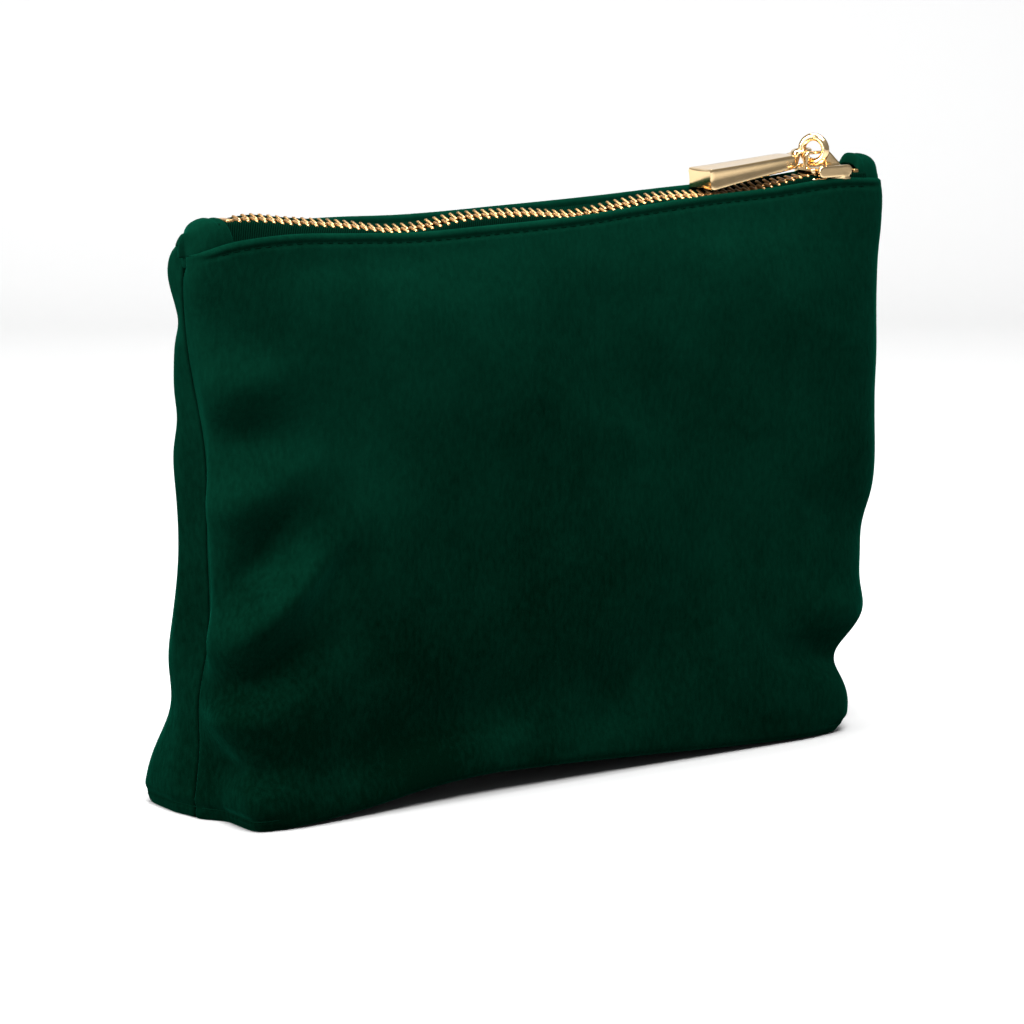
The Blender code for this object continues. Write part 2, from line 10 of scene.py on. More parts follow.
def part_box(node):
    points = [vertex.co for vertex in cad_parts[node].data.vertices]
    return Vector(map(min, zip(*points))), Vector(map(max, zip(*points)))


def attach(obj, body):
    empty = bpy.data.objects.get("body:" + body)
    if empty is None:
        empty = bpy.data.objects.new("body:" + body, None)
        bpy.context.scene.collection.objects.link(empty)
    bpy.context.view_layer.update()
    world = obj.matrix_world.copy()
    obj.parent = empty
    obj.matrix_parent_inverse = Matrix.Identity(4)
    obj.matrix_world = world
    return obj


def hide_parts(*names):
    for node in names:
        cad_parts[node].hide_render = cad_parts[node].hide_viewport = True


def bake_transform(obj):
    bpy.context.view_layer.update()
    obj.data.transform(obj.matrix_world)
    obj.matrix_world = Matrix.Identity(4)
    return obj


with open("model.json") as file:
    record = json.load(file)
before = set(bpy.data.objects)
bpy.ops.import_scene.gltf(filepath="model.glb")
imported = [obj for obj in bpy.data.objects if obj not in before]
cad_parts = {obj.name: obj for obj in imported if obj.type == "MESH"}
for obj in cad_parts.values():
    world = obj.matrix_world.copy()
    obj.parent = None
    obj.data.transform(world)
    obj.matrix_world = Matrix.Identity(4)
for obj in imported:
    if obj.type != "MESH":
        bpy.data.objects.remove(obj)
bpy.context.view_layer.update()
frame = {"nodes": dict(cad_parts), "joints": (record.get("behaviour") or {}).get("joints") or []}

MM = 0.001
FRONT, BACK = -1, 1
LABEL = {FRONT: "front", BACK: "back"}

# The bag's form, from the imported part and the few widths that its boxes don't give
PANEL_LOW, PANEL_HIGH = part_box("front_panel")
ZIP_Z = sum(corner.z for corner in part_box("front_zip_tape")) / 2
ZIP_Y = (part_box("front_tooth_row")[1].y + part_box("back_tooth_row")[0].y) / 2
WIDTH_TOP = PANEL_HIGH.x - PANEL_LOW.x
WIDTH_BASE = 186 * MM
SKEW = 2.5 * MM  # the base is this much left of the zip
RIGHT_BULGE = 9 * MM  # fullness of the right side, half-way up
DEPTH_BASE = 50 * MM
DEPTH_MOUTH = 15.4 * MM
EDGE_RADIUS = 3 * MM  # round the base
ROLL = 1.2 * MM  # radius of the folded top edge
SEAM_HALF_GAP = 0.75 * MM  # from the side seam's middle to either panel
STITCH_DROP = 2.2 * MM  # the stitch line, under the zip
CORNER_SEAM_Z = 3.2 * MM
TEETH_LEFT, TEETH_RIGHT = -93.0 * MM, 94.6 * MM
SLIDER_X = 88.0 * MM
PITCH = 2.4 * MM  # of the teeth
VELVET_THICKNESS = 1.1 * MM
# The layers inside: distance from the velvet's outer face, thickness
INTERLINING, LINING = (1.4 * MM, 0.9 * MM), (2.6 * MM, 0.35 * MM)


# ---------------------------------------------------------------- pieces

def add_object(name, data):
    obj = bpy.data.objects.new(name, data)
    bpy.context.scene.collection.objects.link(obj)
    return obj


def stand_for(piece, node, body=None):
    """The piece replaces a CAD node, which is hidden, and rides on a body if one is given."""
    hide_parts(node)
    if body:
        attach(piece, body)


# ---------------------------------------------------------------- the bag's surface

def smooth(low, high, value):
    """0 below low, 1 above high, with a smooth step between."""
    share = np.clip((np.asarray(value, float) - low) / (high - low), 0.0, 1.0)
    return share * share * (3 - 2 * share)


def bump(value, centre, width):
    return np.exp(-((np.asarray(value, float) - centre) / width) ** 2)


def profile(points, x):
    """A smooth curve through (x, value) points, in mm; flat past the two ends."""
    px, pv = (np.array(column, float) * MM for column in zip(*points))
    slope = np.gradient(pv, px)
    slope[0] = slope[-1] = 0.0
    x = np.clip(np.asarray(x, float), px[0], px[-1])
    at = np.clip(np.searchsorted(px, x, side="right") - 1, 0, len(px) - 2)
    span = px[at + 1] - px[at]
    t = (x - px[at]) / span
    return ((2 * t ** 3 - 3 * t ** 2 + 1) * pv[at] + (t ** 3 - 2 * t ** 2 + t) * span * slope[at]
            + (3 * t ** 2 - 2 * t ** 3) * pv[at + 1] + (t ** 3 - t ** 2) * span * slope[at + 1])


# The form at height z: its middle, half its width and depth, and how square its outline is

def middle_y(z):
    return ZIP_Y * (z / ZIP_Z) ** 2


def right_bulge(z):
    return RIGHT_BULGE * np.sin(math.pi * np.clip(z / ZIP_Z, 0, 1) ** 0.7)


def middle_x(z):
    return -SKEW * (1 - np.clip(z / ZIP_Z, 0, 1) ** 1.5) + right_bulge(z) / 2


def half_width(z):
    return (WIDTH_BASE + (WIDTH_TOP - WIDTH_BASE) * np.clip(z / ZIP_Z, 0, 2) ** 1.5 + right_bulge(z)) / 2


def half_depth(z):
    share = min(max(z / ZIP_Z, 0.0), 1.0)
    return (DEPTH_MOUTH + (DEPTH_BASE - DEPTH_MOUTH) * (1 - share ** 1.6) ** 0.8) / 2


def squareness(z):
    """Exponent of the outline's superellipse: 2 is an ellipse; squarer near the base and the zip."""
    share = z / ZIP_Z
    return 3.4 + 3.6 * (1 - share) ** 4 + 12 * math.exp(-(z / (14 * MM)) ** 2) + 1.6 * share ** 4


OUTLINE_STEPS = 2880
RIGHT_SQUARER = 3.2  # added to the exponent on the fuller right side


def section(z, inset, columns):
    """Half the outline at height z, evenly spaced from side seam to side seam: x and depth."""
    wide, deep = half_width(z) - inset, half_depth(z) - inset
    angle = np.linspace(0, math.pi, OUTLINE_STEPS + 1)
    share = min(max(z / ZIP_Z, 0.0), 1.0)
    right = squareness(z) + RIGHT_SQUARER * math.sin(math.pi * share)
    power = 2 / np.where(np.cos(angle) < 0, right, squareness(z))
    x = -wide * np.sign(np.cos(angle)) * np.abs(np.cos(angle)) ** power
    y = deep * np.abs(np.sin(angle)) ** power
    along = np.concatenate(([0.0], np.cumsum(np.hypot(np.diff(x), np.diff(y)))))
    target = np.linspace(0, along[-1], columns + 1)
    return np.interp(target, along, x), np.interp(target, along, y)


# How far the zip and the two folded top edges hang under their straight lines (x, drop in mm)
ZIP_DROP = [(-96, -0.4), (-88, -0.6), (-76, 1.0), (-61, 2.9), (-47, 5.0), (-40, 5.0), (-28, 3.6), (-8, 3.7),
            (9, 5.2), (22, 3.7), (34, 2.6), (50, 2.9), (62, 2.4), (74, 1.1), (82, 0.1), (100, 0.0)]
RIM_DROP = {
    FRONT: [(-106, 5.8), (-96, 4.0), (-82, 3.2), (-60, 4.4), (-46, 5.3), (-20, 5.3), (7, 4.8), (25, 3.7),
            (42, 2.7), (70, 1.8), (91, 0.7), (106, 1.6)],
    BACK: [(-106, 3.0), (-96, 1.4), (-84, 1.5), (-72, 1.4), (-58, 1.6), (-44, 2.2), (-8, 2.0), (20, 1.5),
           (39, 0.9), (70, 0.4), (96, 0.0), (106, 2.6)],
}
# How far the folded top edges lie towards the teeth (x, shift in mm)
RIM_PULL = {
    FRONT: [(-106, 0), (-90, 0.4), (-50, 1.8), (0, 2.2), (40, 2.6), (88, 1.6), (106, 0)],
    BACK: [(-106, 0), (-60, 0.8), (0, 1.6), (60, 1.6), (90, 1.0), (106, 0)],
}

# Folds of the velvet: side, x, z, direction from +X in degrees, length, width, height (mm)
FOLD_DEPTH = 1.8  # every height counts this many times
FOLDS = [
    (FRONT, -92, 112, 4, 16, 6.5, 1.6),
    (FRONT, -92, 98, -4, 15, 6.0, -1.5),
    (FRONT, -91, 83, 22, 14, 6.0, 1.8),
    (FRONT, -87, 69, 50, 13, 5.0, -2.4),
    (FRONT, -84, 56, 42, 18, 5.4, 3.4),
    (FRONT, -82, 40, 28, 22, 6.0, -2.4),
    (FRONT, -68, 60, 52, 11, 6.0, -1.2),
    (FRONT, -93, 28, 8, 10, 4.6, 1.6),
    (FRONT, -92, 15, 0, 10, 5.4, -2.0),
    (FRONT, -52, 70, 60, 26, 16.0, 1.0),
    (FRONT, -30, 20, 8, 44, 12.0, -2.2),
    (FRONT, 22, 22, 50, 34, 12.0, -1.8),
    (FRONT, 40, 78, -52, 46, 15.0, -1.4),
    (FRONT, 88, 22, -12, 16, 5.0, -2.2),
    (FRONT, 90, 34, -8, 14, 6.0, 1.6),
    (FRONT, 92, 58, -20, 18, 8.0, -1.2),
    (FRONT, 70, 116, -30, 30, 12.0, 1.0),
    (FRONT, -30, 112, -25, 50, 16.0, 1.4),
    (BACK, 92, 76, -24, 16, 6.0, 1.8),
    (BACK, 88, 60, -34, 20, 6.0, -1.8),
    (BACK, 80, 44, -36, 22, 6.0, 2.4),
    (BACK, -84, 44, 30, 22, 8.0, 0.9),
    (BACK, -86, 28, 34, 20, 8.0, -0.7),
    (BACK, -90, 100, -10, 14, 6.0, -1.4),
    (BACK, 10, 26, 8, 60, 14.0, -2.0),
    (BACK, -20, 106, 60, 50, 18.0, -1.4),
]
CRUMPLE_PER_METRE = 22
CRUMPLE, FINE_CRUMPLE = 0.9 * MM, 0.35 * MM


def relief(side, x, z):
    """Height of the cloth over the plain form, in metres."""
    total = np.zeros_like(x)
    for where, cx, cz, degrees, length, width, height in FOLDS:
        if where != side:
            continue
        turn = math.radians(degrees)
        along = ((x - cx * MM) * math.cos(turn) + (z - cz * MM) * math.sin(turn)) / (length * MM)
        across = (-(x - cx * MM) * math.sin(turn) + (z - cz * MM) * math.cos(turn)) / (width * MM)
        total += FOLD_DEPTH * height * MM * np.exp(-along ** 2 - across ** 2)
    for row in np.ndindex(x.shape):
        spot = Vector((x[row] * CRUMPLE_PER_METRE, side * 3.0, z[row] * CRUMPLE_PER_METRE))
        total[row] += CRUMPLE * noise.noise(spot) + FINE_CRUMPLE * noise.noise(spot * 2.7)
    return total


# How far each side stands out from the plain form, at its seam and on either panel (z, shift in mm)
SIDE_SHIFT = {
    (-1, "seam"): [(0, 2.4), (8, 1.0), (18, -0.4), (30, -0.8), (45, -4.2), (70, -4.8), (95, -4.8), (108, -2.6),
                   (118, -0.8), (132, 0.4), (142, 0.4), (150, -1.0)],
    (-1, BACK): [(0, 3.8), (8, 3.2), (19, 2.0), (28, 0.6), (50, 0.4), (72, -0.6), (92, 0.6), (112, 0.7),
                 (121, 0.0), (126, -1.4), (131, 0.2), (136, 2.2), (141, 3.6), (146, 3.4), (150, 0.4)],
    (-1, FRONT): [(0, -2.2), (12, -1.0), (26, -0.4), (60, -0.8), (100, -0.4), (128, 0.0), (140, 0.8), (150, -0.8)],
    (1, "seam"): [(0, 0.6), (14, -2.0), (34, -2.2), (60, -3.0), (95, -3.0), (125, -1.2), (150, -0.8)],
    (1, BACK): [(0, 2.0), (14, 0.4), (30, -0.6), (60, 0.4), (100, 0.6), (135, 1.0), (150, -0.8)],
    (1, FRONT): [(0, 0.8), (8, 0.2), (17, -2.0), (24, -0.6), (32, 0.6), (44, 0.3), (62, 1.9), (85, 0.6),
                 (110, -0.2), (128, -0.4), (138, 0.4), (146, 0.4), (150, -0.8)],
}
# How far the base stands off the floor (x, height in mm)
BASE_ARCH = [(-96, 0), (-76, 0.4), (-60, 1.8), (-42, 4.2), (-26, 5.2), (-4, 4.6), (26, 3.0), (56, 1.2), (80, 0.2),
             (92, 0)]
ARCH_REACH = 34 * MM  # the arch fades up to this height
BASE_ROWS, EDGE_ROWS = 13, 9


def plain_grid(side, columns, heights):
    """Rows of points from the base seam to the rim, each from side seam to side seam."""
    rows = []
    outer_x, outer_y = section(EDGE_RADIUS, EDGE_RADIUS, columns)
    seam_x = np.linspace(outer_x[0], outer_x[-1], columns + 1)
    for share in np.linspace(0.0, 1.0, BASE_ROWS + 1)[:-1]:
        rows.append((seam_x + (outer_x - seam_x) * share,
                     SEAM_HALF_GAP + (np.maximum(outer_y, SEAM_HALF_GAP) - SEAM_HALF_GAP) * share, 0.0))
    for step in range(EDGE_ROWS):
        angle = math.radians(90) * step / EDGE_ROWS
        x, y = section(EDGE_RADIUS, EDGE_RADIUS * (1 - math.sin(angle)), columns)
        rows.append((x, y, EDGE_RADIUS * (1 - math.cos(angle))))
    for z in heights:
        x, y = section(z, 0.0, columns)
        rows.append((x, y, z))
    grid = np.zeros((len(rows), columns + 1, 3))
    for index, (x, y, z) in enumerate(rows):
        y = np.maximum(y, SEAM_HALF_GAP)
        grid[index] = np.stack([middle_x(z) + x, middle_y(z) + side * y, np.full_like(x, z)], axis=1)
    return grid


def normals_of(grid, side):
    """Unit normals, out of the bag."""
    across = np.gradient(grid, axis=1)
    up = np.gradient(grid, axis=0)
    normal = np.cross(across, up) * -side
    length = np.linalg.norm(normal, axis=2, keepdims=True)
    return normal / np.maximum(length, 1e-12)


HEM_RISE, HEM_GROOVE = 0.2 * MM, 0.6 * MM  # the hem over its stitch line, and the groove along the line
CORNER_GROOVE, CORNER_TUCK = 0.6 * MM, 0.9 * MM  # along the corner seams, and the cloth under them
RIM_REACH = 26 * MM  # how far under the zip the rim's sag begins


def dressed_grid(side, columns, heights):
    """The panel's outer face with its folds, sagging rim and arched base."""
    plain = plain_grid(side, columns, heights)
    x, y, z = (plain[..., axis].copy() for axis in range(3))
    depth = side * (y - middle_y(z))
    lift = relief(side, x, z) * smooth(0.5 * MM, 12 * MM, depth) * smooth(2 * MM, 14 * MM, z)
    lift *= 1 - smooth(ZIP_Z - 16 * MM, ZIP_Z - 5 * MM, z)
    outwards = np.abs(x - middle_x(z)) / half_width(z)
    hem = 1 - smooth(0.95, 0.995, outwards)
    stitch_z = ZIP_Z - STITCH_DROP
    lift += HEM_RISE * hem * smooth(stitch_z, stitch_z + 1.2 * MM, z)
    lift -= HEM_GROOVE * hem * bump(z, stitch_z, 0.7 * MM)
    corner = smooth(0.84, 0.97, outwards)
    lift -= CORNER_GROOVE * corner * bump(z, CORNER_SEAM_Z, 0.8 * MM)
    lift -= CORNER_TUCK * corner * (1 - smooth(1.5 * MM, 4.5 * MM, z)) * smooth(0, 1.0 * MM, z)
    grid = plain + normals_of(plain, side) * lift[..., None]
    panel = smooth(0, 9 * MM, depth)
    for hand in (-1, 1):
        near = smooth(0.5, 1.0, hand * (x - middle_x(z)) / half_width(z))
        seam, wall_shift = profile(SIDE_SHIFT[hand, "seam"], z), profile(SIDE_SHIFT[hand, side], z)
        grid[..., 0] += hand * (seam + (wall_shift - seam) * panel) * near
    grid[..., 2] += profile(BASE_ARCH, x) * (1 - smooth(0, ARCH_REACH, z))
    rim = smooth(ZIP_Z - RIM_REACH, ZIP_Z, z)
    grid[..., 2] -= profile(RIM_DROP[side], x) * rim
    grid[..., 1] -= side * profile(RIM_PULL[side], x) * rim * smooth(1.5 * MM, 7 * MM, depth)
    return grid


END_ROLL = 0.25 * MM  # radius of the folded edge at the side seams
HEM_INSIDE = (1.5, 3.5, 6.0)  # rows of the hem inside, under the fold (mm)


def with_rim(grid, side):
    """Adds the folded edge: the cloth turns inwards over a small radius and runs down inside."""
    top = grid[-1]
    normal = normals_of(grid, side)[-1]
    normal[:, 2] = 0
    normal /= np.linalg.norm(normal, axis=1, keepdims=True)
    depth = side * (top[:, 1] - ZIP_Y)
    radius = (END_ROLL + (ROLL - END_ROLL) * smooth(1 * MM, 6 * MM, depth))[:, None]
    up = np.array([0, 0, 1.0])
    rows = [grid]
    for degrees in range(20, 181, 20):
        angle = math.radians(degrees)
        point = top - normal * radius * (1 - math.cos(angle)) + up * radius * math.sin(angle)
        rows.append(point[None])
    inside = top - normal * radius * 2
    for fall in HEM_INSIDE:
        rows.append((inside - up * fall * MM)[None])
    return np.concatenate(rows)


# Across the seam allowance: distance inwards, half the gap to the other panel (mm)
ALLOWANCE = [(0.22, 0.42), (0.75, 0.16), (2.6, 0.14)]
ALLOWANCE_SLOPE = 1.8  # its lower end rises this much for each millimetre inwards


def with_seams(grid, side):
    """Adds the seam allowance: both ends of every row turn inwards beside the other panel."""
    ends = []
    for hand, column in ((-1, 0), (1, -1)):
        edge = grid[:, column]
        middle = edge[:, 1] - side * SEAM_HALF_GAP
        strips = []
        for inwards, gap in ALLOWANCE:
            strip = edge.copy()
            strip[:, 0] -= hand * inwards * MM
            strip[:, 1] = middle + side * gap * MM
            strip[:, 2] = np.maximum(strip[:, 2], edge[0, 2] + ALLOWANCE_SLOPE * inwards * MM)
            strips.append(strip[:, None])
        ends.append(strips)
    left, right = ends
    return np.concatenate([*left[::-1], grid, *right], axis=1)


def sheet_mesh(name, grid, side):
    """A mesh of quads through a grid of points, facing out of the bag."""
    rows, columns = grid.shape[:2]
    index = np.arange(rows * columns).reshape(rows, columns)
    a, b, c, d = index[:-1, :-1], index[:-1, 1:], index[1:, 1:], index[1:, :-1]
    faces = np.stack([a, b, c, d] if side == FRONT else [d, c, b, a], axis=-1).reshape(-1, 4)
    mesh = bpy.data.meshes.new(name)
    mesh.from_pydata(grid.reshape(-1, 3).tolist(), [], faces.tolist())
    mesh.validate()
    obj = add_object(name, mesh)
    mesh.shade_smooth()
    return obj


def merge_points(obj):
    """One vertex where the grid's points meet at the base's two ends."""
    form = bmesh.new()
    form.from_mesh(obj.data)
    bmesh.ops.remove_doubles(form, verts=form.verts, dist=0.002 * MM)
    bmesh.ops.dissolve_degenerate(form, edges=form.edges, dist=0.001 * MM)
    form.to_mesh(obj.data)
    form.free()


def cloth(name, grid, side, thickness, material, subdivide=1):
    """A grid of points as cloth with a thickness, under the given face."""
    obj = sheet_mesh(name, grid, side)
    merge_points(obj)
    obj.data.materials.append(material)
    solid = obj.modifiers.new("Thickness", "SOLIDIFY")
    solid.thickness = thickness
    solid.offset = -1
    if subdivide:
        level = obj.modifiers.new("Round", "SUBSURF")
        level.levels = level.render_levels = subdivide
    return obj


# ---------------------------------------------------------------- the cloth simulation

SIM_FRAMES = 20
SIM_STRIDE = 2  # every second row and column of the panel's grid
SIM_CAP = 3.0 * MM  # no point moves further
SPARE_LENGTH = 0.028  # of the cloth's length
SIM_HELD_LOW, SIM_HELD_HIGH = 14, 9  # rows held at the base, which stands on the floor, and at the rim


def settle(grid, side):
    """Lets the panel settle as cloth: a little spare length, slight fullness, pinned at its seams."""
    rows = sorted({*range(0, grid.shape[0], SIM_STRIDE), grid.shape[0] - 1})
    columns = sorted({*range(0, grid.shape[1], SIM_STRIDE), grid.shape[1] - 1})
    coarse = grid[np.ix_(rows, columns)]
    obj = sheet_mesh("settling_cloth", coarse, side)
    pins = obj.vertex_groups.new(name="seams")
    count_rows, count_columns = coarse.shape[:2]
    for row in range(count_rows):
        for column in range(count_columns):
            near_edge = min(column, count_columns - 1 - column)
            held = row < SIM_HELD_LOW or row >= count_rows - SIM_HELD_HIGH or near_edge < 1
            pins.add([row * count_columns + column], 1.0 if held else 0.0, "REPLACE")
    cloth_modifier = obj.modifiers.new("Cloth", "CLOTH")
    settings = cloth_modifier.settings
    settings.quality = 6
    settings.mass = 0.2
    settings.tension_stiffness = settings.compression_stiffness = 18
    settings.shear_stiffness = 6
    settings.bending_stiffness = 0.6
    settings.vertex_group_mass = "seams"
    settings.shrink_min = settings.shrink_max = -SPARE_LENGTH
    settings.use_pressure = True
    settings.uniform_pressure_force = 2.5
    settings.effector_weights.gravity = 0.0
    cloth_modifier.point_cache.frame_start = 1
    cloth_modifier.point_cache.frame_end = SIM_FRAMES
    for frame_number in range(1, SIM_FRAMES + 1):
        bpy.context.scene.frame_set(frame_number)
    evaluated = obj.evaluated_get(bpy.context.evaluated_depsgraph_get())
    moved = np.zeros(count_rows * count_columns * 3)
    evaluated.data.vertices.foreach_get("co", moved)
    shift = moved.reshape(coarse.shape) - coarse
    length = np.linalg.norm(shift, axis=2, keepdims=True)
    shift *= SIM_CAP * np.tanh(length / SIM_CAP) / np.maximum(length, 1e-9)
    bpy.data.objects.remove(obj, do_unlink=True)
    bpy.context.scene.frame_set(1)
    # The shift goes back to the full grid: between the rows first, then between the columns
    full_rows = np.zeros((grid.shape[0], len(columns), 3))
    full = np.zeros_like(grid)
    for axis in range(3):
        for column in range(len(columns)):
            full_rows[:, column, axis] = np.interp(np.arange(grid.shape[0]), rows, shift[:, column, axis])
        for row in range(grid.shape[0]):
            full[row, :, axis] = np.interp(np.arange(grid.shape[1]), columns, full_rows[row, :, axis])
    return grid + full


# ---------------------------------------------------------------- materials

def new_material(name):
    material = bpy.data.materials.new(name)
    material.use_nodes = True
    return material, material.node_tree, material.node_tree.nodes["Principled BSDF"]


def fill(tree, node, inputs):
    """Links each named input to an output, or sets its value."""
    for name, source in inputs.items():
        if isinstance(source, bpy.types.NodeSocket):
            tree.links.new(source, node.inputs[name])
        else:
            node.inputs[name].default_value = source


def add_node(tree, kind, inputs, output=0):
    """Makes a node and gives the output that is used."""
    node = tree.nodes.new("ShaderNode" + kind)
    fill(tree, node, inputs)
    return node.outputs[output]


def noise_texture(tree, place, scale, detail):
    return add_node(tree, "TexNoise", {"Vector": place, "Scale": scale, "Detail": detail}, "Fac")


def color_ramp(tree, factor, dark, light, low=0.0, high=1.0):
    node = tree.nodes.new("ShaderNodeValToRGB")
    fill(tree, node, {"Fac": factor})
    for index, (position, color) in enumerate(((low, dark), (high, light))):
        node.color_ramp.elements[index].position = position
        node.color_ramp.elements[index].color = (*color, 1)
    return node.outputs["Color"]


def bumped(tree, height, strength, distance, **under):
    """A bump over the surface, or over another bump given as Normal; distance in metres."""
    return add_node(tree, "Bump", {"Height": height, "Strength": strength, "Distance": distance, **under})


def weighted(tree, terms, constant):
    """The sum of several outputs, each times its weight, plus a constant."""
    total = constant
    for socket, weight in terms:
        step = tree.nodes.new("ShaderNodeMath")
        step.operation = "MULTIPLY_ADD"
        fill(tree, step, {0: socket, 1: weight, 2: total})
        total = step.outputs[0]
    return total


def velvet_material(name, dark, light):
    """Deep pile: clouds where the nap is brushed, a finer mottle, the pile's own grain, and painted shade that
    makes the colour lighter towards the top, as light from above would.
    """
    material, tree, shader = new_material(name)
    place = add_node(tree, "TexCoord", {}, "Object")
    cloud = noise_texture(tree, place, 14, 2)
    blotch = noise_texture(tree, place, 70, 4)
    nap = add_node(tree, "Mapping", {"Vector": place, "Scale": (1, 1, 0.45)})
    grain = noise_texture(tree, nap, 900, 3)
    # Painted shade: the colour grows lighter with the height, standing in for light that falls from above.
    height = add_node(tree, "SeparateXYZ", {"Vector": place}, "Z")
    shade = weighted(tree, [(cloud, 0.55), (blotch, 0.40), (grain, 0.42), (height, 2.6)], -0.41)
    crush = bumped(tree, noise_texture(tree, place, 190, 4), 0.35, 0.6 * MM)
    fill(tree, shader, {
        "Base Color": color_ramp(tree, shade, dark, light, 0.2, 0.9),
        "Roughness": 0.85,
        "Specular IOR Level": 0.0,
        "Sheen Weight": 0.05,
        "Sheen Roughness": 0.4,
        "Sheen Tint": (0.02, 0.7, 0.42, 1),
        "Normal": bumped(tree, grain, 0.5, 0.3 * MM, Normal=crush),
    })
    return material


def gold_material(name, color, roughness):
    """Plated metal: slight wear changes its tone and its polish."""
    material, tree, shader = new_material(name)
    place = add_node(tree, "TexCoord", {}, "Object")
    wear = noise_texture(tree, place, 320, 4)
    polish = {"Value": wear, "To Min": roughness * 0.7, "To Max": roughness * 1.5}
    fill(tree, shader, {
        "Base Color": color_ramp(tree, wear, [channel * 0.86 for channel in color], color),
        "Roughness": add_node(tree, "MapRange", polish, "Result"),
        "Metallic": 1.0,
        "Normal": bumped(tree, wear, 0.08, 0.2 * MM),
    })
    return material


def weave_material(name, dark, light, scale, turn):
    """Twill or plain weave: ribs at an angle in degrees, distorted by fine yarn noise."""
    material, tree, shader = new_material(name)
    place = add_node(tree, "TexCoord", {}, "Object")
    turned = add_node(tree, "Mapping", {"Vector": place, "Rotation": (0, 0, math.radians(turn))})
    ribs = add_node(tree, "TexWave", {"Vector": turned, "Scale": scale, "Distortion": 1.2, "Detail": 2,
                                      "Detail Scale": 3}, "Fac")
    fill(tree, shader, {
        "Base Color": color_ramp(tree, ribs, dark, light),
        "Roughness": 0.75,
        "Specular IOR Level": 0.0,
        "Normal": bumped(tree, ribs, 0.5, 0.2 * MM),
    })
    return material


VELVET_GREEN = velvet_material("velvet", (0.0001, 0.0026, 0.0012), (0.0006, 0.0125, 0.0068))
TAPE_GREEN = weave_material("zip_tape", (0.0001, 0.0022, 0.0011), (0.0006, 0.0085, 0.0046), 700, 45)
FLEECE = weave_material("interlining", (0.6, 0.58, 0.54), (0.75, 0.74, 0.72), 500, 0)
SATIN = weave_material("lining", (0.006, 0.03, 0.022), (0.012, 0.05, 0.036), 900, 0)
THREAD = weave_material("thread", (0.0002, 0.004, 0.002), (0.0006, 0.011, 0.006), 2600, 30)
TEETH_GOLD = gold_material("zip_teeth", (0.43, 0.25, 0.10), 0.30)
HARDWARE_GOLD = gold_material("gold_hardware", (0.88, 0.64, 0.35), 0.13)


# ---------------------------------------------------------------- the three cloth layers

COLUMNS = 180
# Rows of points up the panel: closer over the base's edge and along the hem
HEIGHTS = np.concatenate([np.linspace(EDGE_RADIUS, 18 * MM, 18), np.linspace(19.5 * MM, ZIP_Z - 9 * MM, 78),
                          np.linspace(ZIP_Z - 8.6 * MM, ZIP_Z - ROLL, 20)])
GRID = {side: settle(dressed_grid(side, COLUMNS, HEIGHTS), side) for side in (FRONT, BACK)}


def build_layers():
    for side in (FRONT, BACK):
        label, grid = LABEL[side], GRID[side]
        outer = with_seams(with_rim(grid, side), side)
        shell = cloth(f"{label}_velvet", outer, side, VELVET_THICKNESS, VELVET_GREEN)
        stand_for(shell, f"{label}_panel", "bag")
        normal = normals_of(grid, side)
        for (depth, thickness), layer, material, top in ((INTERLINING, "interlining", FLEECE, -8),
                                                         (LINING, "lining", SATIN, -4)):
            inner = (grid - normal * depth)[1:top, 4:-4]
            piece = cloth(f"{label}_{layer}_cloth", inner, side, thickness, material, 0)
            stand_for(piece, f"{label}_{layer}", "bag")


# ---------------------------------------------------------------- threads

def join_parts(name, parts, material):
    """One mesh from many copies of (vertices, faces)."""
    points, faces, start = [], [], 0
    for vertices, polygons in parts:
        points.extend(vertices.tolist())
        faces.extend([[start + corner for corner in face] for face in polygons])
        start += len(vertices)
    mesh = bpy.data.meshes.new(name)
    mesh.from_pydata(points, [], faces)
    mesh.validate()
    mesh.materials.append(material)
    mesh.shade_smooth()
    return add_object(name, mesh)


def loft_faces(rings, sides):
    """Faces of a closed loft through rings of points."""
    faces = []
    for ring in range(rings - 1):
        for corner in range(sides):
            after = (corner + 1) % sides
            low, high = ring * sides, (ring + 1) * sides
            faces.append([low + corner, low + after, high + after, high + corner])
    faces.append(list(range(sides))[::-1])
    faces.append([(rings - 1) * sides + corner for corner in range(sides)])
    return faces


def thread_part(points, radius, sides=6):
    """A thin tapered cord through a few points."""
    points = np.asarray(points)
    along = np.gradient(points, axis=0)
    along /= np.linalg.norm(along, axis=1, keepdims=True)
    side = np.cross(along, (0, 0, 1.0))
    weak = np.linalg.norm(side, axis=1) < 1e-6
    side[weak] = np.cross(along[weak], (0, 1.0, 0))
    side /= np.linalg.norm(side, axis=1, keepdims=True)
    up = np.cross(side, along)
    share = np.linspace(-1, 1, len(points))
    width = radius * np.sqrt(np.clip(1 - 0.75 * share ** 6, 0, 1))
    rings = []
    for index, point in enumerate(points):
        for corner in range(sides):
            angle = 2 * math.pi * corner / sides
            rings.append(point + width[index] * (math.cos(angle) * side[index] + math.sin(angle) * up[index]))
    return np.array(rings), loft_faces(len(points), sides)


def stitches(name, line, normal, length, gap, radius, material):
    """Separate stitches along a line of points; each one's ends dip into the cloth."""
    steps = np.linalg.norm(np.diff(line, axis=0), axis=1)
    along = np.concatenate(([0.0], np.cumsum(steps)))
    parts, start = [], gap
    while start + length < along[-1]:
        spots = np.linspace(start, start + length, STITCH_POINTS)
        point = np.stack([np.interp(spots, along, line[:, axis]) for axis in range(3)], axis=1)
        out = np.stack([np.interp(spots, along, normal[:, axis]) for axis in range(3)], axis=1)
        share = np.linspace(-1, 1, STITCH_POINTS)
        point = point + out * (radius * (1.0 - 1.6 * share ** 4))[:, None]
        parts.append(thread_part(point, radius))
        start += length + gap
    return join_parts(name, parts, material)


